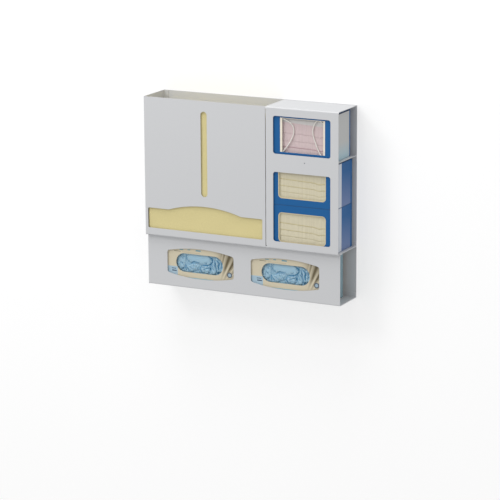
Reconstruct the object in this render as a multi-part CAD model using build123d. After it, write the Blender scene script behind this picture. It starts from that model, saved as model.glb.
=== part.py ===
# Wall organizer for isolation supplies: a folded steel gown bin, a mask cabinet and a glove tray
# on one back panel, with the gowns, mask cartons and glove cartons that stand in it.
#
# Frame: +Z up, the wall plane is y = 0 and the front faces -Y. The origin is the centre of the
# four wall holes, on the back of the back panel. All sizes are in millimetres.

from build123d import *
from math import radians, tan
import os

os.makedirs("parts", exist_ok=True)

# Sheet steel
sheet = 1.5
bend_inner = 2.0
bend_outer = bend_inner + sheet
flange = 14.0                  # width of the flanges that are spot welded to the back panel
joint_gap = 0.3                # gap where two sheets, or a sheet and a carton, stand side by side
corner_relief = 1.5            # slit beside a bend where two bends meet
relief_hole_r = 1.3
cut_past = 1.0                 # how far a cut runs past the face that it goes through

# Cartons and gowns, which set the size of the steelwork
board = 0.8
carton_edge = 0.6              # crushed strip along each folded edge
mask_carton_length = 190.0
tall_carton_height = 122.0
tall_carton_depth = 88.0
low_carton_height = 115.0
low_carton_depth = 101.0
glove_carton_height = 127.0
glove_carton_depth = 82.0
gown_count = 4

# Clearances of the supplies in the steelwork
front_gap = 2.5                # behind each front sheet
back_gap = 7.5                 # between the deepest carton and the back panel
mask_side_gap = 4.0            # beside the divider
mask_end_gap = 9.5             # at the open right end
tall_head_gap = 5.5
low_head_gap = 7.0
glove_head_gap = 6.0
glove_left_gap = 25.5
glove_right_gap = 31.0
glove_between_gap = 1.0
gown_side_gap = 6.5
gown_back_gap = 12.0
gown_spacing = 0.4             # air between one gown and the next

# Steelwork
bin_width = 354.0
cabinet_width = sheet + mask_side_gap + mask_carton_length + mask_end_gap
depth = sheet + front_gap + low_carton_depth + back_gap + sheet
tray_setback = 12.0
tray_height = sheet + glove_carton_height + glove_head_gap + sheet
low_room = 2 * low_carton_height + low_head_gap
tall_room = tall_carton_height + tall_head_gap

width = bin_width + cabinet_width
height = tray_height + sheet + low_room + sheet + tall_room + sheet

# Wall holes
hole_spacing_x = 406.4
hole_spacing_z = 381.0
hole_r = 3.5
hole_centre_height = 252.5     # height of the hole pattern's centre above the base

# Levels and faces in the row's frame
left = -width / 2
right = width / 2
seam = left + bin_width        # where the gown bin meets the mask cabinet
front = -depth
tray_front = front + tray_setback
panel_face = -sheet            # front face of the back panel
base = -hole_centre_height
tray_top = base + tray_height  # underside of the bin's and the cabinet's floors
floor_top = tray_top + sheet
shelf_under = floor_top + low_room
shelf_top = shelf_under + sheet
top = base + height

# Openings in the front sheets
slot_width = 18.5
slot_below_top = 27.5
slot_above_arch = 26.0
hand_side_margin = 9.2
hand_sill = 20.0               # from the bin's underside to the opening's lower edge
hand_height = 54.0             # at the two ends
hand_arch_rise = 16.5
hand_arch_width = 212.0
hand_corner_r = 4.0
window_margin = 22.0           # beside and above the mask windows
window_corner_r = 6.5
tall_window_sill = 9.0         # above the shelf
low_window_sill = 20.0         # above the cabinet's underside
low_window_below_shelf = 38.0
pilot_hole_r = 1.5             # small hole that lines the shelf's front flange up with the front
pilot_hole_drop = 9.0          # below the top of the shelf
pilot_hole_offset = 8.0        # right of the cabinet's middle
glove_window_width = 196.0
glove_window_margin = 58.5
glove_window_centre = 67.5     # above the base
glove_window_end_height = 59.0
glove_window_bow = 11.3        # rise of the upper edge, and fall of the lower one
glove_window_corner_r = 7.0

# Flanges that aren't against the back panel
tray_lip = 12.0
shelf_front_flange = 18.0
divider_relief_top = 8.0
divider_relief_bottom = 6.0

# Die cuts in the cartons
tall_cut_width = 126.0
tall_cut_height = 88.5
tall_cut_sill = 14.5
tall_cut_offset = 2.5          # right of the carton's middle
low_cut_width = 134.0
low_cut_height = 78.0
low_cut_sill = 17.5
low_cut_offset = 1.0
low_cut_corner_r = 10.0
glove_cut_width = 138.5
glove_cut_height = 50.0
glove_cut_centre = 65.5

# Masks
mask_inset = 6.2               # from each end of the mask to the carton's board
low_mask_head_gap = 7.4        # from the mask's upper edge to the board above
tall_mask_head_gap = 14.4
mask_ply = 1.0
mask_pleat_step = 1.4          # how far each pleat stands out past the next
mask_pleats = 3
mask_rim = 17.0                # plain band above and below the pleats
mask_air = 1.2                 # between the carton's board and the front mask
mask_pile_gap = 1.0            # in front of the pile, behind it, and at its ends and top
pile_edge_r = 3.0

# Ear loops of the upper front mask: elastic cord lying in one plane in front of it. Their routes
# are given from the mask's lower corner on their own side, where each starts and ends.
loop_r = 1.3
loop_lift = 0.3                # clear of the pleats
loop_tab = 4.0                 # length of the weld tab that each end runs into
loop_bend = 0.45               # share of each run that a bend takes up
left_loop = [(10, 100), (28, 100), (50, 94.5), (66, 80), (63.5, 55), (48, 30), (31, 10), (18, 6), (6, 6)]
right_loop = [(-4, 78), (-16, 78), (-29, 96), (-45, 104), (-56, 88), (-59, 66), (-50, 42), (-38, 14),
              (-24, 5), (-10, 5)]

# Gowns
gown_layers = 4
gown_layer_overlap = 0.4
gown_below_top = 21.5          # the front gown, and each one behind it is lower
gown_height_step = 6.0
gown_layer_drop = 3.0
gown_end_r = 9.0

# Gloves, with loose fingers across each opening: how far right of and above its middle each one
# lies, and how far it is turned
glove_pile_side_gap = 9.0
glove_pile_head_gap = 10.0
glove_pile_back_gap = 1.0
glove_pile_edge_r = 8.0
glove_air = 2.5                # between the carton's board and the fingers
glove_finger_r = 8.0
glove_finger_length = 46.0
glove_fingers = [(-46, 8, 20), (-22, -9, -35), (6, 6, 15), (34, -6, -25), (52, 7, 60)]


# Sections and solids

def offset_left(points, distance):
    # The same run of straight lines, moved to its left, with mitred corners.
    ends = [Vector(*p) for p in points]
    runs = []
    for a, b in zip(ends, ends[1:]):
        along = (b - a).normalized()
        runs.append((a + Vector(-along.Y, along.X) * distance, along))
    moved = [runs[0][0]]
    for (p, u), (q, v) in zip(runs, runs[1:]):
        cross = u.X * v.Y - u.Y * v.X
        reach = ((q.X - p.X) * v.Y - (q.Y - p.Y) * v.X) / cross
        moved.append(p + u * reach)
    last = runs[-1][1]
    moved.append(ends[-1] + Vector(-last.Y, last.X) * distance)
    return moved


def bent_section(points):
    # Section of a folded sheet. The points follow its outer face and every bend turns left.
    outer = FilletPolyline(*points, radius=bend_outer)
    inner_points = offset_left(points, sheet)
    inner = FilletPolyline(*inner_points, radius=bend_inner)
    ends = [Line(points[-1], inner_points[-1]), Line(inner_points[0], points[0])]
    return make_face(outer.edges() + inner.edges() + ends)


def across(section, x0, x1):
    # A section drawn in y and z, run from x0 to x1.
    return extrude(Plane.YZ.offset(x0) * section, x1 - x0, dir=(1, 0, 0))


def upright(section, z0, z1):
    # A section drawn in x and y, run from z0 to z1.
    return extrude(Pos(0, 0, z0) * section, z1 - z0, dir=(0, 0, 1))


def through(outline, y0, y1):
    # An outline drawn in x and z, run from y0 to y1.
    return extrude(Plane.XZ.offset(-y0) * outline, y1 - y0, dir=(0, 1, 0))


def block(x0, x1, y0, y1, z0, z1):
    return Pos((x0 + x1) / 2, (y0 + y1) / 2, (z0 + z1) / 2) * Box(x1 - x0, y1 - y0, z1 - z0)


def through_sheet(outline, face, thick=sheet):
    # The cut that an outline makes in a sheet whose front face is at y = face.
    return through(outline, face - cut_past, face + thick + cut_past)


def round_hole(x, z, radius):
    return Pos(x, z) * Circle(radius)


# Steelwork

def back_panel():
    panel = block(left, right, panel_face, 0, base, top)
    for x in (-hole_spacing_x / 2, hole_spacing_x / 2):
        for z in (-hole_spacing_z / 2, hole_spacing_z / 2):
            panel -= through_sheet(round_hole(x, z, hole_r), panel_face)
    return panel


def side_wall(x, face, z0, z1, reach):
    # A wall folded back from a front sheet at x, with its flange on the back panel.
    path = [(x + flange, panel_face), (x, panel_face), (x, face), (x + bend_outer + reach, face)]
    return upright(bent_section(path), z0, z1)


def end_shell(x_end, face, z0, z1, section, folded_top):
    # A front sheet with a side wall folded back at the left and a floor folded back below.
    # Where two bends meet the corner is slit, and the side's flange stops above the floor's.
    walls = side_wall(left, face, z0, z1, 2 * corner_relief)
    corners = [(z0 - cut_past, z0 + bend_outer)]
    if folded_top:
        corners.append((z1 - bend_outer, z1 + cut_past))
    for low, high in corners:
        walls -= block(left + bend_outer, left + 3 * bend_outer, face - cut_past, face + bend_outer, low, high)
    walls -= flange_cut(left, flange, z0 - cut_past, z0 + flange + corner_relief)
    return walls + across(section, left + bend_outer + corner_relief, x_end)


def flange_cut(x, reach, z0, z1):
    # The cut that takes away a side wall's flange from z0 to z1.
    y0, y1 = panel_face - sheet - cut_past, panel_face + cut_past
    return block(x + bend_outer, x + reach + cut_past, y0, y1, z0, z1)


def slot_outline():
    # Upright slot that shows how many gowns are left, from near the top to just above the arch.
    z1 = top - slot_below_top
    z0 = tray_top + hand_sill + hand_height + hand_arch_rise + slot_above_arch
    return Pos((left + seam) / 2, (z0 + z1) / 2) * SlotOverall(z1 - z0, slot_width, rotation=90)


def hand_outline():
    # Wide low opening with an arch in the middle of its upper edge.
    x0, x1 = left + hand_side_margin, seam - hand_side_margin
    middle = (left + seam) / 2
    z0 = tray_top + hand_sill
    z1 = z0 + hand_height
    arch0, arch1 = middle - hand_arch_width / 2, middle + hand_arch_width / 2
    arch = ThreePointArc((arch0, z1), (middle, z1 + hand_arch_rise), (arch1, z1))
    ends = Polyline((arch1, z1), (x1, z1), (x1, z0), (x0, z0), (x0, z1), (arch0, z1))
    face = make_face(arch.edges() + ends.edges())
    corners = face.vertices().filter_by(lambda v: min(abs(v.X - x0), abs(v.X - x1)) < 0.01)
    return fillet(corners, hand_corner_r)


def gown_bin_shell():
    section = bent_section([(front, top), (front, tray_top), (panel_face, tray_top),
                            (panel_face, tray_top + flange)])
    shell = end_shell(seam - joint_gap, front, tray_top, top, section, folded_top=False)
    return shell - through_sheet(slot_outline(), front) - through_sheet(hand_outline(), front)


def mask_cabinet_shell():
    # One C-shaped sheet from flange to flange, with the divider folded back at its left edge
    # between two relief holes.
    wrap = bent_section([(panel_face, top - flange), (panel_face, top), (front, top),
                         (front, tray_top), (panel_face, tray_top), (panel_face, tray_top + flange)])
    shell = across(wrap, seam, right)
    low = tray_top + divider_relief_bottom
    high = top - divider_relief_top
    shell -= block(seam - cut_past, seam + bend_outer, front - cut_past, front + bend_outer, low, high)
    divider = side_wall(seam, front, low + corner_relief / 2, high - corner_relief / 2, bend_outer)
    divider -= flange_cut(seam, flange, low, tray_top + flange + corner_relief)
    divider -= flange_cut(seam, flange, top - flange - corner_relief, high)
    shell += divider
    for z in (low, high):
        shell -= through_sheet(round_hole(seam + bend_outer / 2, z, relief_hole_r), front)
    x0, x1 = seam + window_margin, right - window_margin
    for z0, z1 in ((shelf_top + tall_window_sill, top - window_margin),
                   (tray_top + low_window_sill, shelf_top - low_window_below_shelf)):
        window = Pos((x0 + x1) / 2, (z0 + z1) / 2) * RectangleRounded(x1 - x0, z1 - z0, window_corner_r)
        shell -= through_sheet(window, front)
    return shell - pilot_hole()


def pilot_hole():
    # One hole through the front sheet and the shelf's front flange behind it.
    x = (seam + right) / 2 + pilot_hole_offset
    return through_sheet(round_hole(x, shelf_top - pilot_hole_drop, pilot_hole_r), front, 2 * sheet)


def mask_shelf():
    inside = front + sheet
    section = bent_section([(panel_face, shelf_top - flange), (panel_face, shelf_top),
                            (inside, shelf_top), (inside, shelf_top - shelf_front_flange)])
    x0 = seam + sheet + joint_gap
    shelf = across(section, x0, right)
    shelf -= block(x0 - cut_past, seam + flange + joint_gap, panel_face - bend_outer, panel_face + cut_past,
                   shelf_top - flange - cut_past, shelf_top + cut_past)
    shelf -= block(x0 - cut_past, seam + bend_outer + joint_gap, inside - cut_past, inside + bend_outer,
                   shelf_top - shelf_front_flange - cut_past, shelf_top + cut_past)
    return shelf - pilot_hole()


def glove_window(x):
    # Rounded rectangle whose upper and lower edges bow outwards.
    half = glove_window_width / 2
    z = base + glove_window_centre
    side = glove_window_end_height / 2
    bow = side + glove_window_bow
    upper = ThreePointArc((x - half, z + side), (x, z + bow), (x + half, z + side))
    lower = ThreePointArc((x + half, z - side), (x, z - bow), (x - half, z - side))
    ends = [Line((x + half, z + side), (x + half, z - side)), Line((x - half, z - side), (x - half, z + side))]
    face = make_face(upper.edges() + lower.edges() + ends)
    return fillet(face.vertices(), glove_window_corner_r)


def glove_tray_shell():
    section = bent_section([(tray_front + tray_lip, tray_top), (tray_front, tray_top), (tray_front, base),
                            (panel_face, base), (panel_face, base + flange)])
    shell = end_shell(right, tray_front, base, tray_top, section, folded_top=True)
    half = glove_window_margin + glove_window_width / 2
    for x in (left + half, right - half):
        shell -= through_sheet(glove_window(x), tray_front)
    return shell


# Supplies

carton_front = front + sheet + front_gap
glove_carton_front = tray_front + sheet + front_gap
mask_carton_x = seam + sheet + mask_side_gap
mask_x0 = mask_carton_x + board + mask_inset
mask_x1 = mask_carton_x + mask_carton_length - board - mask_inset
glove_room = width - sheet - glove_left_gap - glove_between_gap - glove_right_gap
glove_carton_length = glove_room / 2


def carton(x, y, z, length, deep, high, cut):
    # Closed paperboard carton with one die cut in its front face.
    outer = block(x, x + length, y, y + deep, z, z + high)
    outer = chamfer(outer.edges(), carton_edge)
    inner = block(x + board, x + length - board, y + board, y + deep - board, z + board, z + high - board)
    return outer - inner - through_sheet(cut, y, board)


def tall_cut(x, z):
    middle = x + mask_carton_length / 2 + tall_cut_offset
    return Pos(middle, z + tall_cut_sill + tall_cut_height / 2) * Rectangle(tall_cut_width, tall_cut_height)


def low_cut(x, z):
    middle = x + mask_carton_length / 2 + low_cut_offset
    outline = RectangleRounded(low_cut_width, low_cut_height, low_cut_corner_r)
    return Pos(middle, z + low_cut_sill + low_cut_height / 2) * outline


def glove_cut(x, z):
    outline = SlotOverall(glove_cut_width, glove_cut_height)
    return Pos(x + glove_carton_length / 2, z + glove_cut_centre) * outline


def mask_layers(z, deep, high, head_gap, air):
    # The front mask, pleated like a blind, and the pile that stands behind it in a mask carton.
    z0 = z + board
    z1 = z + high - board - head_gap
    face = carton_front + board + air + mask_pleat_step
    back = face + mask_ply
    pitch = (z1 - z0 - 2 * mask_rim) / mask_pleats
    outline = [(back, z0), (face, z0), (face, z0 + mask_rim)]
    for i in range(mask_pleats):
        foot = z0 + mask_rim + i * pitch
        outline += [(face - mask_pleat_step, foot), (face, foot + pitch)]
    outline += [(face, z1), (back, z1)]
    mask = across(make_face(Polyline(*outline, close=True)), mask_x0, mask_x1)
    pile = block(mask_x0 + mask_pile_gap, mask_x1 - mask_pile_gap, back + mask_pile_gap,
                 carton_front + deep - board - mask_pile_gap, z0, z1 - mask_pile_gap)
    return mask, fillet(pile.edges().filter_by(Axis.Z), pile_edge_r)


def loop_route(points):
    # An ear loop's path in its plane, with each arc as large as its two runs allow.
    ends = [Vector(*p) for p in points]
    radii = []
    for a, b, c in zip(ends, ends[1:], ends[2:]):
        turn = radians((b - a).get_angle(c - b))
        radii.append(loop_bend * min((b - a).length, (c - b).length) / tan(turn / 2))
    print("loop radii", [round(r, 1) for r in radii])
    return FilletPolyline(*points, radius=radii)


def ear_loop(points, y):
    path = Plane.XZ.offset(-y) * loop_route(points)
    return sweep(Plane(origin=path @ 0, z_dir=path % 0) * Circle(loop_r), path=path)


def loop_tabs(points, toward, y, back):
    # Weld tabs on the mask, which the two ends of an ear loop run into. toward is the side of the
    # mask, -1 or 1, that the ends point at.
    tabs = []
    for x, z in (points[0], points[-1]):
        x0, x1 = sorted((x, x + toward * loop_tab))
        tabs.append(block(x0, x1, y - loop_r, back, z - loop_r, z + loop_r))
    return tabs


def gown(index):
    # One folded gown: layers with round folds, standing on edge, rounded at its two ends.
    x0, x1 = left + sheet + gown_side_gap, seam - gown_side_gap
    room = panel_face - sheet - gown_back_gap - carton_front
    thick = (room - (gown_count - 1) * gown_spacing) / gown_count
    y0 = carton_front + index * (thick + gown_spacing)
    high = top - gown_below_top - floor_top - index * gown_height_step
    layer = thick / gown_layers
    section = None
    for i in range(gown_layers):
        y = y0 + (i + 0.5) * layer
        drop = gown_layer_drop * (i % 2)
        outline = SlotOverall(high - drop, layer + gown_layer_overlap, rotation=90)
        slab = Pos(y, floor_top + (high - drop) / 2) * outline
        section = slab if section is None else section + slab
    plan = Pos((x0 + x1) / 2, y0 + thick / 2) * RectangleRounded(x1 - x0, thick, gown_end_r)
    return across(section, x0, x1) & upright(plan, floor_top, floor_top + high)


def glove_finger():
    # One loose finger, lying along x.
    reach = glove_finger_length / 2 - glove_finger_r
    ends = Pos(-reach, 0, 0) * Sphere(glove_finger_r) + Pos(reach, 0, 0) * Sphere(glove_finger_r)
    return Rot(0, 90, 0) * Cylinder(glove_finger_r, 2 * reach) + ends


def glove_pile(x):
    # Gloves packed flat in their carton, with loose fingers across the opening.
    x0 = x + board + glove_pile_side_gap
    x1 = x + glove_carton_length - board - glove_pile_side_gap
    z0 = base + sheet + board
    z1 = z0 + glove_carton_height - 2 * board - glove_pile_head_gap
    y0 = glove_carton_front + board + glove_air + glove_finger_r
    y1 = glove_carton_front + glove_carton_depth - board - glove_pile_back_gap
    pile = fillet(block(x0, x1, y0, y1, z0, z1).edges().filter_by(Axis.X), glove_pile_edge_r)
    middle = Pos(x + glove_carton_length / 2, y0, base + sheet + glove_cut_centre)
    for dx, dz, angle in glove_fingers:
        pile += middle * Pos(dx, 0, dz) * Rot(0, angle, 0) * glove_finger()
    return pile


# The whole organizer

tall_z = shelf_top
low_z = [floor_top, floor_top + low_carton_height]
loop_air = mask_air + loop_lift + 2 * loop_r
tall_mask, tall_pile = mask_layers(tall_z, tall_carton_depth, tall_carton_height, tall_mask_head_gap, loop_air)
middle_mask, middle_pile = mask_layers(low_z[1], low_carton_depth, low_carton_height, low_mask_head_gap, mask_air)
lower_mask, lower_pile = mask_layers(low_z[0], low_carton_depth, low_carton_height, low_mask_head_gap, mask_air)
loop_y = carton_front + board + loop_air - loop_lift - loop_r
tab_back = loop_y + loop_r + loop_lift + mask_pleat_step + mask_ply / 2
loop_paths = {}
for name, route, corner, side in (("left", left_loop, mask_x0, -1), ("right", right_loop, mask_x1, 1)):
    loop_paths[name] = [(corner + dx, tall_z + board + dz) for dx, dz in route]
    for tab in loop_tabs(loop_paths[name], side, loop_y, tab_back):
        tall_mask += tab

glove_x = [left + sheet + glove_left_gap]
glove_x.append(glove_x[0] + glove_carton_length + glove_between_gap)

nodes = {
    "back_panel": back_panel(),
    "gown_bin_shell": gown_bin_shell(),
    "mask_cabinet_shell": mask_cabinet_shell(),
    "mask_shelf": mask_shelf(),
    "glove_tray_shell": glove_tray_shell(),
    "upper_mask_carton": carton(mask_carton_x, carton_front, tall_z, mask_carton_length, tall_carton_depth,
                                tall_carton_height, tall_cut(mask_carton_x, tall_z)),
    "upper_front_mask": tall_mask,
    "upper_mask_pile": tall_pile,
    "left_ear_loop": ear_loop(loop_paths["left"], loop_y),
    "right_ear_loop": ear_loop(loop_paths["right"], loop_y),
    "middle_front_mask": middle_mask,
    "middle_mask_pile": middle_pile,
    "lower_front_mask": lower_mask,
    "lower_mask_pile": lower_pile,
}
for name, z in (("lower_mask_carton", low_z[0]), ("middle_mask_carton", low_z[1])):
    nodes[name] = carton(mask_carton_x, carton_front, z, mask_carton_length, low_carton_depth,
                         low_carton_height, low_cut(mask_carton_x, z))
for name, x in (("left_glove", glove_x[0]), ("right_glove", glove_x[1])):
    nodes[name + "_carton"] = carton(x, glove_carton_front, base + sheet, glove_carton_length,
                                     glove_carton_depth, glove_carton_height, glove_cut(x, base + sheet))
    nodes[name + "_pile"] = glove_pile(x)
for i in range(gown_count):
    nodes["folded_gown_%d" % (i + 1)] = gown(i)

for name, solid in nodes.items():
    solid.label = name
    export_step(solid, "parts/%s.step" % name)
    size = solid.bounding_box().size
    print("%-20s %d solid, %.0f mm3, %.1f x %.1f x %.1f" % (
        name, len(solid.solids()), solid.volume, size.X, size.Y, size.Z))
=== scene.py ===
# Looks of a wall organizer for isolation supplies: folded, powder coated steel that holds gowns,
# masks in cartons and gloves in cartons. Everything is in metres, in the frame of the solids.
import math

import bpy
from mathutils import Matrix, Vector, noise


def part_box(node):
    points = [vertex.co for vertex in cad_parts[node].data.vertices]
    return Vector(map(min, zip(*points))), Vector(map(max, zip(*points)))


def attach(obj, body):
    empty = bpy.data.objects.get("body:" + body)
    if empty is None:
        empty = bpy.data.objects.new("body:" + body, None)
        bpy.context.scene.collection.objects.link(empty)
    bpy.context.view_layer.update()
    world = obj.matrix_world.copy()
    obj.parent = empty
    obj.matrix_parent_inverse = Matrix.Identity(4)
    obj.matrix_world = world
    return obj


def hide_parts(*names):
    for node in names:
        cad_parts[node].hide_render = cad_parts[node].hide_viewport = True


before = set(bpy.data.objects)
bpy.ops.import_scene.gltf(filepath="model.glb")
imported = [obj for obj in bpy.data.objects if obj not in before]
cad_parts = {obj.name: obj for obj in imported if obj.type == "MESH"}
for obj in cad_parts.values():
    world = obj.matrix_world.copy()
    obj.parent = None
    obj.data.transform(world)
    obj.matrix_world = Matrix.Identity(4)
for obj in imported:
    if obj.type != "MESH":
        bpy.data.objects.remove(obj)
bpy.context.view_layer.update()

mm = 0.001


# Camera, as the photograph was taken: a long lens, from the right and a little above

cameraView = {
    "place": (2.7323, -5.4543, 1.3272),
    "azimuth": 26.846,
    "elevation": 13.657,
    "roll": -0.350,
    "lens": 171.75,  # on a sensor 36 mm wide
    "farthest": 100,
}


def makeCamera(view):
    azimuth, elevation, roll = (math.radians(view[k]) for k in ("azimuth", "elevation", "roll"))
    ahead = Vector((-math.sin(azimuth) * math.cos(elevation),
                    math.cos(azimuth) * math.cos(elevation), -math.sin(elevation)))
    level = Vector((math.cos(azimuth), math.sin(azimuth), 0))
    above = level.cross(ahead)
    right = level * math.cos(roll) + above * math.sin(roll)
    up = above * math.cos(roll) - level * math.sin(roll)
    bpy.ops.object.camera_add(location=view["place"])
    camera = bpy.context.object
    camera.rotation_euler = Matrix((right, up, -ahead)).transposed().to_euler()
    camera.data.lens = view["lens"]
    camera.data.clip_end = view["farthest"]
    bpy.context.scene.camera = camera


# Shader helpers

def hexColour(code):
    # sRGB hex to the linear colour that the shaders take
    channels = [int(code[i:i + 2], 16) / 255 for i in (0, 2, 4)]
    linear = [c / 12.92 if c <= 0.04045 else ((c + 0.055) / 1.055) ** 2.4 for c in channels]
    return (*linear, 1.0)


def addNode(tree, kind, inputs=None, **settings):
    # One shader node with its settings; an input is a value or another node's output
    node = tree.nodes.new(kind)
    for name, value in settings.items():
        setattr(node, name, value)
    for name, value in (inputs or {}).items():
        if isinstance(value, bpy.types.NodeSocket):
            tree.links.new(value, node.inputs[name])
        else:
            node.inputs[name].default_value = value
    return node


def emptyMaterial(name):
    material = bpy.data.materials.new(name)
    material.use_nodes = True
    material.node_tree.nodes.clear()
    return material, material.node_tree


def newMaterial(name):
    material, tree = emptyMaterial(name)
    shader = addNode(tree, "ShaderNodeBsdfPrincipled")
    addNode(tree, "ShaderNodeOutputMaterial", {"Surface": shader.outputs["BSDF"]})
    coords = addNode(tree, "ShaderNodeTexCoord").outputs["Object"]
    return material, tree, shader, coords


def splitAxes(tree, coords):
    return addNode(tree, "ShaderNodeSeparateXYZ", {"Vector": coords}).outputs


def calculate(tree, operation, first, second):
    return addNode(tree, "ShaderNodeMath", {0: first, 1: second}, operation=operation).outputs[0]


def multiply(tree, *values):
    total = values[0]
    for value in values[1:]:
        total = calculate(tree, "MULTIPLY", total, value)
    return total


def mixColour(tree, under, over, share):
    # over laid on under where share is 1
    node = addNode(tree, "ShaderNodeMix", {0: share, 6: under, 7: over}, data_type="RGBA")
    return node.outputs[2]


def printOn(tree, under, ink, *shares):
    # An ink laid on a colour where all of the shares are 1
    return mixColour(tree, under, hexColour(ink), multiply(tree, *shares))


def ramp(tree, value, low, high, start=0.0, end=1.0):
    # start at low, changing evenly to end at high
    node = addNode(tree, "ShaderNodeMapRange",
                   {"Value": value, "From Min": low, "From Max": high, "To Min": start, "To Max": end})
    return node.outputs[0]


def band(tree, value, low, high, soft=0.1 * mm):
    # 1 from low to high along one axis, and 0 outside
    rise = ramp(tree, value, low - soft, low + soft)
    fall = ramp(tree, value, high - soft, high + soft, 1.0, 0.0)
    return multiply(tree, rise, fall)


def along(shape, tree, value, corner, span):
    # A ramp or a band over a span in millimetres from a corner
    return shape(tree, value, corner + span[0] * mm, corner + span[1] * mm)


def addRelief(tree, shader, coords, size, detail, depth, strength=0.5):
    # Fine bumps with grains of that size; gives back their pattern
    grains = addNode(tree, "ShaderNodeTexNoise", {"Vector": coords, "Scale": 1 / size, "Detail": detail})
    bump = addNode(tree, "ShaderNodeBump",
                   {"Height": grains.outputs["Fac"], "Distance": depth, "Strength": strength})
    tree.links.new(bump.outputs["Normal"], shader.inputs["Normal"])
    return grains.outputs["Fac"]


# Mesh helpers

def paintNode(name, material):
    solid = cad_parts[name]
    solid.data.materials.clear()
    solid.data.materials.append(material)


def selectOnly(active, *others):
    bpy.ops.object.select_all(action="DESELECT")
    for thing in (active, *others):
        thing.select_set(True)
    bpy.context.view_layer.objects.active = active


def editAll():
    bpy.ops.object.mode_set(mode="EDIT")
    bpy.ops.mesh.select_all(action="SELECT")


def startPiece(name):
    # Names the primitive just added, and puts its place into its mesh
    piece = bpy.context.object
    piece.name = name
    piece.data.name = name
    bpy.ops.object.transform_apply(location=True, rotation=True, scale=True)
    return piece


def finishPiece(piece, material, node):
    piece.data.materials.append(material)
    selectOnly(piece)
    bpy.ops.object.shade_smooth()
    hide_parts(node)
    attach(piece, "root")


def addModifier(piece, name, kind, **settings):
    modifier = piece.modifiers.new(name, kind)
    for setting, value in settings.items():
        setattr(modifier, setting, value)


def applyModifiers(piece):
    selectOnly(piece)
    for modifier in list(piece.modifiers):
        bpy.ops.object.modifier_apply(modifier=modifier.name)


def smoothStep(value, low, high):
    t = min(1.0, max(0.0, (value - low) / (high - low)))
    return t * t * (3 - 2 * t)


def noiseAt(x, z, size, seed):
    # Noise with grains of that width and height
    return noise.noise(Vector((x / size[0], seed, z / size[1])))


# Steel, powder coated

powderCoat = {
    "colour": "CACBCD",
    "roughness": 0.42,
    "peel": 1.6 * mm,  # size of the orange peel
    "peelDepth": 0.03 * mm,
    "peelStrength": 0.6,
}


def powderCoatedSteel(look):
    # Polyester powder, sprayed and baked: satin, with a fine orange peel and no visible grain
    material, tree, shader, coords = newMaterial("powderCoatedSteel")
    shader.inputs["Base Color"].default_value = hexColour(look["colour"])
    shader.inputs["Roughness"].default_value = look["roughness"]
    addRelief(tree, shader, coords, look["peel"], 1.0, look["peelDepth"], look["peelStrength"])
    return material


def paintSteelwork():
    coat = powderCoatedSteel(powderCoat)
    for name in ("back_panel", "gown_bin_shell", "mask_cabinet_shell", "mask_shelf", "glove_tray_shell"):
        paintNode(name, coat)
    print("steelwork coated")


# Cartons: folding boxboard, offset printed with plain fields of colour

cartonBoard = {
    "roughness": 0.5,
    "fibre": 0.9 * mm,
    "fibreDepth": 0.02 * mm,
    "endSkin": 0.3 * mm,  # what lies nearer than this to the right end takes the end's colour
}

maskCartonPrint = {
    "blue": "125B96",
    "jointShade": "1E4F7C",  # painted shade in the joint between two stacked cartons
    "blueLow": "6C7FA8",  # the low cartons' ends pale towards the foot
    "endGrey": "C1C2C1",
    "endPaleBlue": "A9C4CF",
    "endWhite": "CFD4DC",
    "endLine": "DCD2BC",
    # the blue top strip of the print, darkened with painted shade from the cabinet's top
    "topBlueInPaintedShade": "1D2C4C",
    "sheen": 0.3,
    "tallRearStrip": 6.5 * mm,
    "tallFade": (45, 5),  # heights in millimetres between which the grey turns pale blue
    "lineWidth": 1.5 * mm,
    "topStrip": 3 * mm,
    "lowRearStrip": 10 * mm,
    "lowFadeDrop": 25 * mm,
    "frontStrip": 37 * mm,
    "jointShadeWidth": 1.2 * mm,
    "jointShadeShare": 0.75,
}

# The peeled rims of the mask cartons: each cut, the opening left inside it as x0, x1, z0, z1 from the carton's
# lower left corner, and their corner radii, in millimetres
cutRims = {
    "tall": {
        "colour": "EDE4D3",
        "cut": (34.5, 160.5, 14.5, 103.0),
        "cutRadius": 0.05,
        "opening": (40.7, 155.7, 14.6, 101.7),
        "openingRadius": 0.05,
    },
    "low": {
        "colour": "DCCDA5",
        "cut": (29.0, 163.0, 17.5, 95.5),
        "cutRadius": 10.0,
        "opening": (32.0, 161.0, 20.0, 93.5),
        "openingRadius": 6.5,
    },
}
rimBoard = 0.6 * mm
rimDepth = 0.7 * mm  # of the rim's middle behind the carton's face

gloveCartonPrint = {
    "beige": "D0C6AD",
    "beigeShade": "62573D",
    "line": "A79D85",
    "field": "A5BECD",
    "stripe": "8FC3D6",
    "mark": "3C5068",
    "teal": "4F93A8",
    "end": "8CA9B3",
    "frontSkin": 0.7 * mm,
    # streaks that fan out from a point, and the shade in the corner, from the carton's lower left corner
    "fanPoint": (170 * mm, -15 * mm),
    "fanScale": 13.0,
    "streakFade": (0.36, 0.6),
    "streakX": (178, 204),
    "streakZ": (22, 62),
    "cornerX": (165, 225),
    "cornerZ": (52, 84),
    "cornerShare": 0.5,
    # the round mark: its centre, and each disc's colour and radius
    "discPlace": (213.5 * mm, 45.3 * mm),
    "discs": (("mark", 7.8 * mm), ("field", 4.6 * mm)),
    "discEdge": 0.5 * mm,
    "discShare": 0.85,
}

# Plain fields on each glove carton: colour, x0, x1, z0, z1 in millimetres from its lower left corner
plainFields = (
    ("field", 20, 60, 10, 53),
    ("mark", 42, 55, 46.3, 48.3),
    ("mark", 43, 57, 40, 43),
    ("stripe", 84, 168, 24.8, 26.6),
    ("teal", 66, 77, 99, 101),
    ("teal", 90, 98, 100, 102),
    ("teal", 114, 129, 99.5, 102.5),
    ("beigeShade", 50, 69, 94.4, 95.6),
    ("line", 74, 127, 93.6, 94.4),
)


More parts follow.
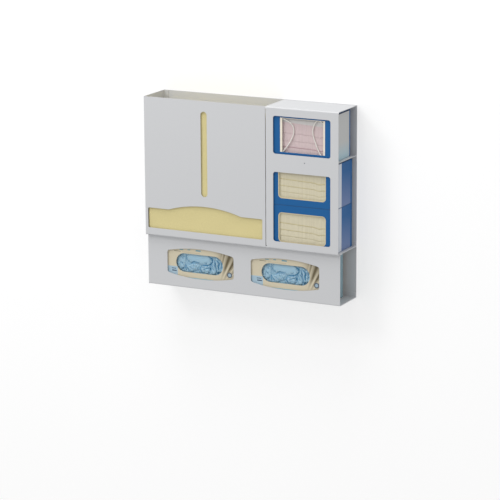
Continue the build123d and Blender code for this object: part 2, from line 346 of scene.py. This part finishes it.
def boxboard(name, look):
    # Clay coated boxboard: low sheen, faint fibre under the print
    material, tree, shader, coords = newMaterial(name)
    shader.inputs["Roughness"].default_value = look["roughness"]
    addRelief(tree, shader, coords, look["fibre"], 3.0, look["fibreDepth"])
    return material, tree, shader, coords


def paintMaskCarton(node, form, look):
    low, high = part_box(node)
    material, tree, shader, coords = boxboard("printedBoxboard_" + node, cartonBoard)
    x, y, z = splitAxes(tree, coords)
    shader.inputs["Specular IOR Level"].default_value = look["sheen"]
    colour = hexColour(look["blue"])
    end = band(tree, x, high.x - cartonBoard["endSkin"], high.x + mm)
    if form == "tall":
        rear = high.y - look["tallRearStrip"]
        fade = along(ramp, tree, z, low.z, look["tallFade"])
        grey = printOn(tree, hexColour(look["endGrey"]), look["endPaleBlue"], fade)
        colour = mixColour(tree, colour, grey, multiply(tree, end, band(tree, y, low.y, rear)))
        colour = printOn(tree, colour, look["endLine"], end, band(tree, y, rear - look["lineWidth"], rear))
        # top strip: blue print darkened with painted shade from the cabinet's top
        colour = printOn(tree, colour, look["topBlueInPaintedShade"], end, band(tree, z, high.z - look["topStrip"], high.z))
    else:
        fade = ramp(tree, z, high.z - look["lowFadeDrop"], low.z)
        pale = printOn(tree, hexColour(look["blue"]), look["blueLow"], fade)
        middle = band(tree, y, low.y, high.y - look["lowRearStrip"])
        colour = mixColour(tree, colour, pale, multiply(tree, end, middle))
        strip = band(tree, y, low.y - mm, low.y + look["frontStrip"])
        colour = printOn(tree, colour, look["endWhite"], end, strip)
        # painted shade along the top and the foot, where two low cartons meet
        top = band(tree, z, high.z - look["jointShadeWidth"], high.z + mm)
        foot = band(tree, z, low.z - mm, low.z + look["jointShadeWidth"])
        jointShade = calculate(tree, "MAXIMUM", top, foot)
        colour = printOn(tree, colour, look["jointShade"], jointShade, look["jointShadeShare"])
    tree.links.new(colour, shader.inputs["Base Color"])
    paintNode(node, material)


def roundedOutline(sides, radius, steps=6):
    # Corner points of a rounded rectangle, going round from the lower right corner
    x0, x1, z0, z1 = sides
    points = []
    corners = ((x1 - radius, z0 + radius, -90), (x1 - radius, z1 - radius, 0),
               (x0 + radius, z1 - radius, 90), (x0 + radius, z0 + radius, 180))
    for cx, cz, start in corners:
        for k in range(steps + 1):
            angle = math.radians(start + 90 * k / steps)
            points.append((cx + radius * math.cos(angle), cz + radius * math.sin(angle)))
    return points


def peeledRim(node, name, look):
    # The bare board round a cut, where the printed face peeled away with the torn-out flap
    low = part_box(node)[0]
    loops = [roundedOutline(look[edge], look[edge + "Radius"]) for edge in ("cut", "opening")]
    count = len(loops[0])
    bpy.ops.mesh.primitive_circle_add(vertices=count, radius=1)
    rim = startPiece(name)
    editAll()
    bpy.ops.mesh.extrude_region_move()
    bpy.ops.object.mode_set(mode="OBJECT")
    for i, vertex in enumerate(rim.data.vertices):
        x, z = loops[i // count][i % count]
        vertex.co = (low.x + x * mm, low.y + rimDepth, low.z + z * mm)
    addModifier(rim, "board", "SOLIDIFY", thickness=rimBoard, offset=0)
    applyModifiers(rim)
    editAll()
    bpy.ops.mesh.normals_make_consistent(inside=False)
    bpy.ops.object.mode_set(mode="OBJECT")
    material, _, shader, _ = boxboard("peeledBoxboard_" + name, cartonBoard)
    shader.inputs["Base Color"].default_value = hexColour(look["colour"])
    rim.data.materials.append(material)
    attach(rim, "root")


def paintGloveCarton(node, look):
    low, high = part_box(node)
    material, tree, shader, coords = boxboard("printedBoxboard_" + node, cartonBoard)
    x, y, z = splitAxes(tree, coords)
    front = band(tree, y, low.y - mm, low.y + look["frontSkin"])
    colour = hexColour(look["beige"])
    # soft darker streaks fanning out at the right of the opening, and a shaded corner
    fanX, fanZ = look["fanPoint"]
    fan = addNode(tree, "ShaderNodeMapping", {"Vector": coords, "Location": (-low.x - fanX, 0, -low.z - fanZ)})
    parts = splitAxes(tree, fan.outputs[0])
    angle = calculate(tree, "ARCTAN2", parts[2], parts[0])
    streak = addNode(tree, "ShaderNodeTexNoise", {"W": angle, "Scale": look["fanScale"], "Detail": 3.0},
                     noise_dimensions="1D")
    dark = ramp(tree, streak.outputs["Fac"], *look["streakFade"])
    right = multiply(tree, along(ramp, tree, x, low.x, look["streakX"]),
                     along(ramp, tree, z, low.z, look["streakZ"]))
    colour = printOn(tree, colour, look["beigeShade"], dark, right, front)
    corner = multiply(tree, along(ramp, tree, x, low.x, look["cornerX"]),
                      along(ramp, tree, z, low.z, look["cornerZ"]), look["cornerShare"])
    colour = printOn(tree, colour, look["beigeShade"], corner, front)
    for name, x0, x1, z0, z1 in plainFields:
        colour = printOn(tree, colour, look[name], front, along(band, tree, x, low.x, (x0, x1)),
                         along(band, tree, z, low.z, (z0, z1)))
    discX, discZ = look["discPlace"]
    away = addNode(tree, "ShaderNodeVectorMath", {0: coords, 1: (low.x + discX, low.y, low.z + discZ)},
                   operation="DISTANCE").outputs["Value"]
    for name, radius in look["discs"]:
        disc = ramp(tree, away, radius, radius - look["discEdge"])
        colour = printOn(tree, colour, look[name], front, disc, look["discShare"])
    colour = printOn(tree, colour, look["end"], band(tree, x, high.x - cartonBoard["endSkin"], high.x + mm))
    tree.links.new(colour, shader.inputs["Base Color"])
    paintNode(node, material)


def paintCartons():
    for place, form in (("upper", "tall"), ("middle", "low"), ("lower", "low")):
        node = place + "_mask_carton"
        paintMaskCarton(node, form, maskCartonPrint)
        peeledRim(node, place + "CutRim", cutRims[form])
    for side in ("left", "right"):
        paintGloveCarton(side + "_glove_carton", gloveCartonPrint)
    print("cartons printed")


# Spunbond cloth of the gowns and the masks

clothLook = {
    "sheen": 0.15,
    "mottle": (0.3, 0.75),
    "shade": 0.9,  # of the colour, between the filaments
    "relief": 0.12 * mm,
}


def spunbond(name, colour, look):
    # Polypropylene filaments laid at random and point bonded: matte and softly mottled
    material, tree, shader, coords = newMaterial(name)
    shader.inputs["Roughness"].default_value = look["roughness"]
    shader.inputs["Sheen Weight"].default_value = clothLook["sheen"]
    fibres = addRelief(tree, shader, coords, look["fibre"], 4.0, clothLook["relief"])
    tone = ramp(tree, fibres, *clothLook["mottle"])
    shade = tuple(c * clothLook["shade"] for c in hexColour(colour)[:3]) + (1.0,)
    tree.links.new(printOn(tree, shade, colour, tone), shader.inputs["Base Color"])
    return material, tree, shader, coords


# Gowns: folded layer on layer, standing in the bin

gownLook = {
    "colour": "DBCE95",
    "roughness": 0.8,
    "fibre": 1.4 * mm,
    "gowns": 4,
    "layers": 4,  # of each gown
    "drop": 3 * mm,  # of every second layer's top
    "fullness": 0.94,  # of a layer's share of the depth
    "roundness": 0.46,  # radius of the folds, as a share of the same
    "cuts": 44,
    "wave": 0.9 * mm,  # how far the cloth rises and falls
    "waveSize": 70 * mm,
    "waveStretch": 1.6,
    "endLength": 20 * mm,  # along which the layers draw together
    "pinch": 0.018,
}


def foldedGown(node, look, material):
    # Layers with round folds at the top, each with its own slight waves
    low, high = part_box(node)
    thick = (high.y - low.y) / look["layers"]
    layers = []
    for i in range(look["layers"]):
        top = high.z - look["drop"] * (i % 2)
        centre = ((low.x + high.x) / 2, low.y + (i + 0.5) * thick, (low.z + top) / 2)
        bpy.ops.mesh.primitive_cube_add(size=1, location=centre)
        bpy.context.object.scale = (high.x - low.x, thick * look["fullness"], top - low.z)
        layer = startPiece("%sLayer%d" % (node, i))
        editAll()
        bpy.ops.mesh.bevel(offset=thick * look["roundness"], segments=4)
        for normal, start, end in ((Vector((1, 0, 0)), low.x, high.x), (Vector((0, 0, 1)), low.z, top)):
            for k in range(1, look["cuts"]):
                at = start + (end - start) * k / look["cuts"]
                bpy.ops.mesh.select_all(action="SELECT")
                bpy.ops.mesh.bisect(plane_co=normal * at, plane_no=normal)
        bpy.ops.object.mode_set(mode="OBJECT")
        seed = Vector((i * 3.1, low.y * 90, 0))
        aside = centre[1] - (low.y + high.y) / 2
        for vertex in layer.data.vertices:
            p = vertex.co
            swing = noise.noise(Vector((p.x, 0, p.z * look["waveStretch"])) / look["waveSize"] + seed)
            edge = min(smoothStep(p.x, low.x, low.x + look["endLength"]),
                       smoothStep(-p.x, -high.x, -high.x + look["endLength"]))
            p.y += swing * look["wave"] - aside * (1 - edge) * look["pinch"]
        layers.append(layer)
    selectOnly(*layers)
    bpy.ops.object.join()
    gown = layers[0]
    gown.name = node.replace("folded_gown_", "foldedGown")
    finishPiece(gown, material, node)


def makeGowns():
    material = spunbond("spunbondGownCloth", gownLook["colour"], gownLook)[0]
    for i in range(gownLook["gowns"]):
        foldedGown("folded_gown_%d" % (i + 1), gownLook, material)
    print("gowns folded")


# Masks: pleated three-ply sheets, one at the front of each pile

maskLook = {
    "pink": "D3BFC0",
    # painted shade in the folds of the pink pleats
    "pinkFoldShade": "B08890",
    "noseBand": "C9C6C4",
    "noseBandFoot": 96 * mm,
    "cream": "D6CEB3",
    # painted shade in the folds of the cream pleats
    "creamFoldShade": "BFB06E",
    "foldShadeFade": (0.15, 0.9),
    "foldShadeShare": 0.8,
    "flute": "8E8872",
    "fluteWidth": 1.9 * mm,
    "fluteFade": (0.5, 0.75),
    "fluteShare": 0.42,
    "roughness": 0.75,
    "fibre": 1.2 * mm,
    "ply": 0.35 * mm,
    "faceDepth": 0.6 * mm,
    # lower edge of each pleat above the mask's lower edge, and how much painted shade shows in its fold
    "pinkFeet": ((25 * mm, 1.0), (42 * mm, 0.0), (61 * mm, 0.3)),
    "creamFeet": ((32 * mm, 0.45), (47 * mm, 0.7), (64 * mm, 0.8)),
    "overlap": 8 * mm,
    "foldLift": 0.55 * mm,
    "rowsBetween": 6,
    "columns": 230,
    "tilt": 0.05,
    "footTilt": 0.4,  # share of the tilt at the lower edge
    "level": 15 * mm,  # the lower and the upper edge lie level, and the pleats tilt between them
    "dipPlace": 135 * mm,  # from the left end, where the pleats sag a little
    "dipWidth": 9 * mm,
    "dipDepth": 2.5 * mm,
    "crinkles": (((2.6 * mm, 40 * mm), 0, 0.3 * mm), ((5.5 * mm, 14 * mm), 3, 0.55 * mm)),
}

# One fold, row by row: how far above the pleat's lower edge in overlaps and in lifts, how far forward in lifts,
# and how much painted shade lies in the fold
foldRows = (
    (1, 0, 0, 0),
    (1, 0.25, 0.2, 0),
    (1, 0, 0.4, 0),
    (0.5, 0, 0.45, 0),
    (0, 0, 0.5, 1),
    (0, -0.25, 0.75, 1),
    (0.0375, 0, 1, 1),
    (0.2, 0, 1, 0.5),
    (0.6, 0, 0.95, 0),
)
fallFrom = 0.9  # in lifts: from there the pleat falls back to the next fold


def pleatPath(low, high, feet, look):
    # (height, how far forward, how much painted shade lies in the fold) from the lower edge of the sheet to the
    # upper one
    overlap, lift, rows = look["overlap"], look["foldLift"], look["rowsBetween"]
    path = [(low + feet[0][0] * k / rows, 0, 0) for k in range(rows)]
    for i, (rise, dark) in enumerate(feet):
        foot = low + rise
        end = low + feet[i + 1][0] if i + 1 < len(feet) else high
        path += [(foot + overlap * a + lift * b, lift * c, dark * d) for a, b, c, d in foldRows]
        for k in range(1, rows + 1):
            t = k / (rows + 0.5)
            path.append((foot + overlap + (end - foot - overlap) * t, lift * fallFrom * (1 - t), 0))
    path.append((high, 0, 0))
    return path


def pleatedMask(node, name, look, feet, material):
    # A grid whose rows follow the folds, then given its thickness
    low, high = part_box(node)
    face = high.y - look["faceDepth"]
    path = pleatPath(low.z, high.z, feet, look)
    bpy.ops.mesh.primitive_grid_add(x_subdivisions=look["columns"], y_subdivisions=len(path) - 1, size=2)
    mask = startPiece(name)
    mesh = mask.data
    tone = mesh.attributes.new("foldShade", "FLOAT", "POINT")
    middle = (low.x + high.x) / 2
    for vertex in mesh.vertices:
        column = (vertex.co.x + 1) / 2
        row = round((vertex.co.y + 1) / 2 * (len(path) - 1))
        height, forward, foldShade = path[row]
        x = low.x + (high.x - low.x) * column
        share = smoothStep(height, low.z, low.z + look["level"])
        share *= smoothStep(-height, -high.z, -high.z + look["level"])
        dip = math.exp(-((x - low.x - look["dipPlace"]) / look["dipWidth"]) ** 2) * look["dipDepth"]
        tilt = look["footTilt"] + (1 - look["footTilt"]) * (height - low.z) / (high.z - low.z)
        droop = -look["tilt"] * (x - middle) * tilt - dip
        crinkle = sum(noiseAt(x, height, size, seed) * reach for size, seed, reach in look["crinkles"])
        vertex.co = (x, face - forward - crinkle * share, height + droop * share)
        # how much painted shade falls in the fold here, kept in an attribute
        tone.data[vertex.index].value = foldShade * share
    addModifier(mask, "ply", "SOLIDIFY", thickness=look["ply"], offset=0)
    applyModifiers(mask)
    finishPiece(mask, material, node)


def maskCloth(name, colour, line, look, bandFoot=None):
    material, tree, shader, coords = spunbond(name, colour, look)
    base = shader.inputs["Base Color"].links[0].from_socket
    foldShade = addNode(tree, "ShaderNodeAttribute", attribute_name="foldShade").outputs["Fac"]
    # painted shade in the folds of the pleats, in the colour given as line
    mixed = printOn(tree, base, line, ramp(tree, foldShade, *look["foldShadeFade"]), look["foldShadeShare"])
    x, _, z = splitAxes(tree, coords)
    # narrow darker streaks down the cloth
    flutes = addNode(tree, "ShaderNodeTexNoise",
                     {"Vector": addNode(tree, "ShaderNodeCombineXYZ", {0: x}).outputs[0],
                      "Scale": 1 / look["fluteWidth"], "Detail": 2.0}).outputs["Fac"]
    mixed = printOn(tree, mixed, look["flute"], ramp(tree, flutes, *look["fluteFade"]), look["fluteShare"])
    if bandFoot is not None:
        height = calculate(tree, "ADD", z, multiply(tree, x, look["tilt"]))
        mixed = printOn(tree, mixed, look["noseBand"], ramp(tree, height, bandFoot, bandFoot + mm))
    tree.links.new(mixed, shader.inputs["Base Color"])
    return material


# The masks behind the front one: thin sheets with round edges, standing on edge

maskPileLook = {
    "sheets": 26,
    "fullness": 0.8,  # of each sheet's share of the depth
    "roundness": 0.35,
    "sag": 4 * mm,
    "shift": 1.5 * mm,
}


def maskPile(node, name, look, material):
    low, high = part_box(node)
    pitch = (high.y - low.y) / look["sheets"]
    centre = ((low.x + high.x) / 2, low.y + pitch / 2, (low.z + high.z) / 2)
    bpy.ops.mesh.primitive_cube_add(size=1, location=centre)
    bpy.context.object.scale = (high.x - low.x, pitch * look["fullness"], high.z - low.z)
    pile = startPiece(name)
    addModifier(pile, "roundEdges", "BEVEL", width=pitch * look["roundness"], segments=2)
    addModifier(pile, "sheets", "ARRAY", count=look["sheets"], use_relative_offset=False,
                use_constant_offset=True, constant_offset_displace=(0, pitch, 0))
    applyModifiers(pile)
    for vertex in pile.data.vertices:
        index = int((vertex.co.y - low.y) / pitch)
        if vertex.co.z > centre[2]:
            vertex.co.z -= abs(noise.noise(Vector((index * 0.7, 1, 5)))) * look["sag"]
        vertex.co.x += noise.noise(Vector((index * 0.9, 4, 2))) * look["shift"]
    finishPiece(pile, material, node)


def makeMasks():
    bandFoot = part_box("upper_front_mask")[0].z + maskLook["noseBandFoot"]
    pink = maskCloth("spunbondPinkMaskCloth", maskLook["pink"], maskLook["pinkFoldShade"], maskLook, bandFoot)
    cream = maskCloth("spunbondCreamMaskCloth", maskLook["cream"], maskLook["creamFoldShade"], maskLook)
    for place, cloth, slot, feet in (("upper", pink, "pink_mask_cloth", "pinkFeet"),
                                     ("middle", cream, "cream_mask_cloth", "creamFeet"),
                                     ("lower", cream, "cream_mask_cloth", "creamFeet")):
        pleatedMask(place + "_front_mask", place + "FrontMask", maskLook, maskLook[feet], cloth)
        maskPile(place + "_mask_pile", place + "MaskPile", maskPileLook, cloth)
    print("masks pleated")


# Ear loops of the upper mask: limp elastic cord

loopLook = {
    "colour": "E6E3DC",
    "roughness": 0.7,
    "sheen": 0.2,
    "diameter": 2.6 * mm,
    "knit": 0.8 * mm,
    "knitDepth": 0.15 * mm,
    "knitStrength": 0.6,
    "leftLength": 166 * mm,
    "rightLength": 175 * mm,
}

# Routes from the mask's lower left corner, in millimetres along X and Z
leftLoop = [(10, 100), (28, 100), (50, 94.5), (66, 80), (63.5, 55), (48, 30), (31, 10), (18, 6), (6, 6)]
rightLoop = [(172, 78), (160, 78), (147, 96), (131, 104), (120, 88), (117, 66), (126, 42), (138, 14),
             (152, 5), (166, 5)]


def knittedElastic(look):
    # Round knitted elastic: matte, finely ribbed across
    material, tree, shader, coords = newMaterial("knittedElasticCord")
    shader.inputs["Base Color"].default_value = hexColour(look["colour"])
    shader.inputs["Roughness"].default_value = look["roughness"]
    shader.inputs["Sheen Weight"].default_value = look["sheen"]
    addRelief(tree, shader, coords, look["knit"], 2.0, look["knitDepth"], look["knitStrength"])
    return material


def earLoop(node, name, route, look, material):
    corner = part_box("upper_front_mask")[0]
    low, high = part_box(node)
    y = (low.y + high.y) / 2
    curve = bpy.data.curves.new(name, "CURVE")
    curve.dimensions = "3D"
    curve.bevel_depth = look["diameter"] / 2
    curve.bevel_resolution = 4
    curve.use_fill_caps = True
    curve.resolution_u = 10
    spline = curve.splines.new("NURBS")
    spline.points.add(len(route) - 1)
    points = [(corner.x + dx * mm, y, corner.z + dz * mm) for dx, dz in route]
    for point, place in zip(spline.points, points):
        point.co = (*place, 1)
    spline.order_u = 3
    spline.use_endpoint_u = True
    loop = bpy.data.objects.new(name, curve)
    bpy.context.collection.objects.link(loop)
    curve.materials.append(material)
    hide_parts(node)
    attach(loop, "root")


def makeEarLoops():
    elastic = knittedElastic(loopLook)
    earLoop("left_ear_loop", "leftEarLoop", leftLoop, loopLook, elastic)
    earLoop("right_ear_loop", "rightEarLoop", rightLoop, loopLook, elastic)
    print("ear loops laid")


# Gloves: nitrile film, folded and interleaved in the cartons

gloveLook = {
    "light": "9DC0D3",
    # doubled film and painted shade in the creases
    "deep": "00709E",
    "roughness": 0.38,
    "skin": 2.5 * mm,
    "skinDepth": 0.2 * mm,
    "columns": 200,
    "rows": 96,
    "width": 170 * mm,
    "height": 82 * mm,
    "centreHeight": 65.5 * mm,  # of the opening, above the carton's foot
    "heapBase": 6.6 * mm,  # behind the front of the pile
    "blockBase": 8 * mm,
    "blockRound": 8 * mm,
}

# Rounded folds round the opening's centre: from (x, z) to (x, z), half width and how far forward,
# in millimetres
gloveFolds = [
    ((-61, -10), (-57, 8), 16, 5.0),
    ((-54, 19), (-38, 21), 9, 4.2),
    ((-28, 14), (20, 12), 16, 6.0),
    ((-40, -16), (-14, -10), 13, 4.7),
    ((3, -15), (18, -17), 9, 5.0),
    ((12, -4), (26, -8), 6, 5.2),
    ((41, 18), (39, -20), 5.5, 5.4),
    ((50, 16), (50, -18), 5, 5.8),
    ((59, 12), (58, -14), 5, 5.3),
    ((67, 8), (66, -10), 7, 4.7),
]

# Sharp creases pressed into them: width, how dark (doubled film and painted shade), and their points, measured
# the same way
gloveCreases = [
    (1.5, 1.0, ((22, 21), (32, 16), (36, 8), (31, 1), (19, -2), (4, -4))),
    (1.4, 0.9, ((-29, -3), (-22, 1), (-13, 4), (-7, 2))),
    (2.2, 0.5, ((-36, -7), (-26, -3), (-14, -1))),
    (1.3, 0.8, ((-44, 20), (-42, 10), (-36, 4))),
    (1.2, 1.0, ((-46, -6), (-45, -13), (-42, -20))),
    (1.2, 0.9, ((-44, -8), (-39, -15), (-34, -20))),
    (1.4, 0.8, ((4, -4), (-2, -14), (4, -22))),
    (1.3, 0.8, ((8, -16), (23, -9), (31, -1))),
    (4.2, 1.0, ((29, -10), (29, -12))),
    (1.6, 0.9, ((41, 13), (45, 2), (47, -11), (45, -19))),
    (1.5, 1.0, ((49, 15), (54, 4), (54, -11))),
    (1.2, 0.6, ((59, 8), (62, -5))),
    (3.0, 0.8, ((49, -21), (56, -18))),
    (1.0, 0.6, ((-10, -18), (0, -13), (10, -8))),
    (1.0, 0.5, ((-30, -12), (-18, -20))),
]

# How the film bends and wrinkles, in millimetres
film = {
    "lowest": 2.6,  # the heap between the folds
    "lowestGap": 0.6,
    "warps": ((14, 4), (4, 0.8)),  # size and reach of the bends in the folds
    "foldFlatness": 0.85,
    "foldReach": 1.08,
    "valleyWidth": 0.9,  # where two folds are nearly as high as each other
    "valleyShade": 0.45,
    "creaseReach": 2.5,
    "creaseDepth": 1.7,
    # ridges where the noise crosses zero: size, seed, sharpness and height
    "ridges": (((8, 13), 2, 3.2, 0.6), ((3.4, 4.6), 5, 2.6, 0.5)),
    "ridgeBase": 0.4,
    # fine creases that run askew, darkened as doubled film with painted shade
    "webSize": (8, 12),
    "webSlant": (0.5, 0.3),
    "webWidth": 0.045,
    "webShade": 0.7,
    # the large fold at the top is nearly smooth
    "calmRise": 8,
    "calmSlope": 0.1,
    "calmCentre": -4,
    "calmWidths": (28, 36),
    "calmShare": 0.85,
}


def nitrileFilm(look):
    # Thin dipped nitrile: soft satin sheen, deeper blue where the film doubles over in a crease, together with
    # painted shade in the creases and between the folds
    material, tree, shader, coords = newMaterial("dippedNitrileFilm")
    doubledFilmAndShade = addNode(tree, "ShaderNodeAttribute", attribute_name="doubledFilmAndShade").outputs["Fac"]
    colour = printOn(tree, hexColour(look["light"]), look["deep"], doubledFilmAndShade)
    tree.links.new(colour, shader.inputs["Base Color"])
    shader.inputs["Roughness"].default_value = look["roughness"]
    shader.inputs["Subsurface Weight"].default_value = 0.1
    shader.inputs["Subsurface Radius"].default_value = (0.5, 1.0, 1.5)
    shader.inputs["Subsurface Scale"].default_value = mm
    addRelief(tree, shader, coords, look["skin"], 2.0, look["skinDepth"])
    return material


def awayFrom(x, z, start, end):
    # Distance of a point from a straight run
    dx, dz = end[0] - start[0], end[1] - start[1]
    t = max(0.0, min(1.0, ((x - start[0]) * dx + (z - start[1]) * dz) / (dx * dx + dz * dz)))
    return math.hypot(x - start[0] - dx * t, z - start[1] - dz * t)


def warp(x, z, seeds):
    return sum(noiseAt(x, z, (size, size), seed) * reach for (size, reach), seed in zip(film["warps"], seeds))


def foldsAt(x, z):
    # Height of the highest fold, and how dark the painted shade is in the valley where two folds meet
    best = [film["lowest"] - film["lowestGap"], film["lowest"]]
    for start, end, radius, lift in gloveFolds:
        away = awayFrom(x, z, start, end) / radius
        height = 0.0
        if away < film["foldReach"]:
            height = lift * math.sqrt(max(0.0, 1 - away * away * film["foldFlatness"]))
        best = sorted(best + [height])[-2:]
    valley = max(0.0, 1.0 - (best[1] - best[0]) / film["valleyWidth"]) ** 1.5
    return best[1], valley * film["valleyShade"]


def pressedCrease(x, z):
    doubledFilmAndShade = 0.0
    for width, dark, points in gloveCreases:
        away = min(awayFrom(x, z, a, b) for a, b in zip(points, points[1:])) / width
        if away < film["creaseReach"]:
            doubledFilmAndShade = max(doubledFilmAndShade, dark * math.exp(-away * away))
    return doubledFilmAndShade


def foldHeight(x, z):
    # Height of the heap at a point, and how deep in a crease it lies, which also gives its darkness of doubled
    # film and painted shade
    warpX = x + warp(x, z, (0, 3))
    warpZ = z + warp(x, z, (7, 9))
    height, valley = foldsAt(warpX, warpZ)
    narrow, wide = film["calmWidths"]
    calm = smoothStep(z - film["calmSlope"] * abs(x), 0, film["calmRise"])
    calm *= smoothStep(-abs(x - film["calmCentre"]), -wide, -narrow)
    slantX, slantZ = film["webSlant"]
    web = abs(noiseAt(x + z * slantX, z - x * slantZ, film["webSize"], 13))
    web = film["webShade"] * math.exp(-(web / film["webWidth"]) ** 2) * (1 - calm)
    # darkness of doubled film and painted shade in the creases and valleys
    doubledFilmAndShade = max(valley, pressedCrease(warpX, warpZ), web)
    rumple = 0.0
    for size, seed, sharpness, reach in film["ridges"]:
        rumple += max(0.0, 1 - abs(noiseAt(x, z, size, seed)) * sharpness) ** 2 * reach
    rumple *= 1 - film["calmShare"] * calm
    return height + rumple - film["ridgeBase"] - doubledFilmAndShade * film["creaseDepth"], doubledFilmAndShade


def glovePile(node, carton, name, look, material):
    # A block of packed gloves whose front face is raised into the folds seen in the opening
    low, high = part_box(node)
    cartonLow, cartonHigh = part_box(carton)
    base = look["blockBase"]
    bpy.ops.mesh.primitive_cube_add(size=1, location=(low + high) / 2 + Vector((0, base / 2, 0)))
    bpy.context.object.scale = (high.x - low.x, high.y - low.y - base, high.z - low.z)
    pile = startPiece(name)
    addModifier(pile, "roundEdges", "BEVEL", width=look["blockRound"], segments=4)
    applyModifiers(pile)
    bpy.ops.mesh.primitive_grid_add(x_subdivisions=look["columns"], y_subdivisions=look["rows"], size=2)
    heap = startPiece(name + "Folds")
    doubledFilmAndShade = heap.data.attributes.new("doubledFilmAndShade", "FLOAT", "POINT")
    centreX = (cartonLow.x + cartonHigh.x) / 2
    centreZ = cartonLow.z + look["centreHeight"]
    front = low.y + look["heapBase"]
    for vertex in heap.data.vertices:
        x, z = vertex.co.x * look["width"] / 2, vertex.co.y * look["height"] / 2
        height, depth = foldHeight(x / mm, z / mm)
        # the darkness of doubled film and painted shade, kept in an attribute
        doubledFilmAndShade.data[vertex.index].value = depth
        vertex.co = (centreX + x, front - height * mm, centreZ + z)
    selectOnly(heap, pile)
    bpy.ops.object.join()
    heap.name = name
    finishPiece(heap, material, node)


def makeGloves():
    material = nitrileFilm(gloveLook)
    for side in ("left", "right"):
        glovePile(side + "_glove_pile", side + "_glove_carton", side + "Gloves", gloveLook, material)
    print("gloves packed")


# Wall, floor and light

studio = {
    "wallColour": "FFFFFF",
    "wallPaint": 0.5,
    "wallGlow": 0.53,
    "wallGap": 1 * mm,
    "size": 12,
    "floorDrop": 1.2,
    # each lamp: place, width and power
    "lamps": (((-1.8, -2.65, 2.44), 1.3, 37), ((-0.3, -0.85, 2.9), 2.0, 48)),
    "aim": (0, -0.05, 0),
    "world": 0.70,
}


def wallPaint(look):
    # White wall, seen by the camera from the room side only, so it hides nothing from behind
    material, tree = emptyMaterial("mattWallPaint")
    grey = look["wallPaint"]
    paint = addNode(tree, "ShaderNodeBsdfDiffuse", {"Color": (grey, grey, grey, 1)})
    glow = addNode(tree, "ShaderNodeEmission",
                   {"Color": hexColour(look["wallColour"]), "Strength": look["wallGlow"]})
    lit = addNode(tree, "ShaderNodeAddShader", {0: paint.outputs[0], 1: glow.outputs[0]})
    clear = addNode(tree, "ShaderNodeBsdfTransparent")
    facing = addNode(tree, "ShaderNodeNewGeometry").outputs["Backfacing"]
    front = calculate(tree, "SUBTRACT", 1.0, facing)
    seen = multiply(tree, addNode(tree, "ShaderNodeLightPath").outputs["Is Camera Ray"], front)
    mixed = addNode(tree, "ShaderNodeMixShader", {0: seen, 1: clear.outputs[0], 2: lit.outputs[0]})
    addNode(tree, "ShaderNodeOutputMaterial", {"Surface": mixed.outputs[0]})
    return material


def makeStudio(look):
    paint = wallPaint(look)
    upright = (math.pi / 2, 0, 0)
    bpy.ops.mesh.primitive_plane_add(size=look["size"], location=(0, look["wallGap"], 0), rotation=upright)
    wall = bpy.context.object
    wall.name = "wall"
    bpy.ops.mesh.primitive_plane_add(size=look["size"], location=(0, -look["size"] / 2, -look["floorDrop"]))
    floor = bpy.context.object
    floor.name = "floor"
    for surface in (wall, floor):
        surface.data.materials.append(paint)
    for place, size, power in look["lamps"]:
        bpy.ops.object.light_add(type="AREA", location=place)
        lamp = bpy.context.object
        lamp.data.shape = "DISK"
        lamp.data.size = size
        lamp.data.energy = power
        lamp.rotation_euler = (Vector(look["aim"]) - lamp.location).to_track_quat("-Z", "Y").to_euler()
    world = bpy.data.worlds.new("softRoom")
    world.use_nodes = True
    tree = world.node_tree
    tree.nodes.clear()
    path = addNode(tree, "ShaderNodeLightPath").outputs["Is Camera Ray"]
    strength = ramp(tree, path, 0.0, 1.0, look["world"], 1.0)
    sky = addNode(tree, "ShaderNodeBackground", {"Color": (1, 1, 1, 1), "Strength": strength})
    addNode(tree, "ShaderNodeOutputWorld", {"Surface": sky.outputs[0]})
    bpy.context.scene.world = world
    bpy.context.scene.view_settings.view_transform = "Standard"
    print("studio lit")


bpy.ops.object.select_all(action="DESELECT")
makeCamera(cameraView)
makeEarLoops()
paintSteelwork()
paintCartons()
makeGowns()
makeMasks()
makeGloves()
makeStudio(studio)
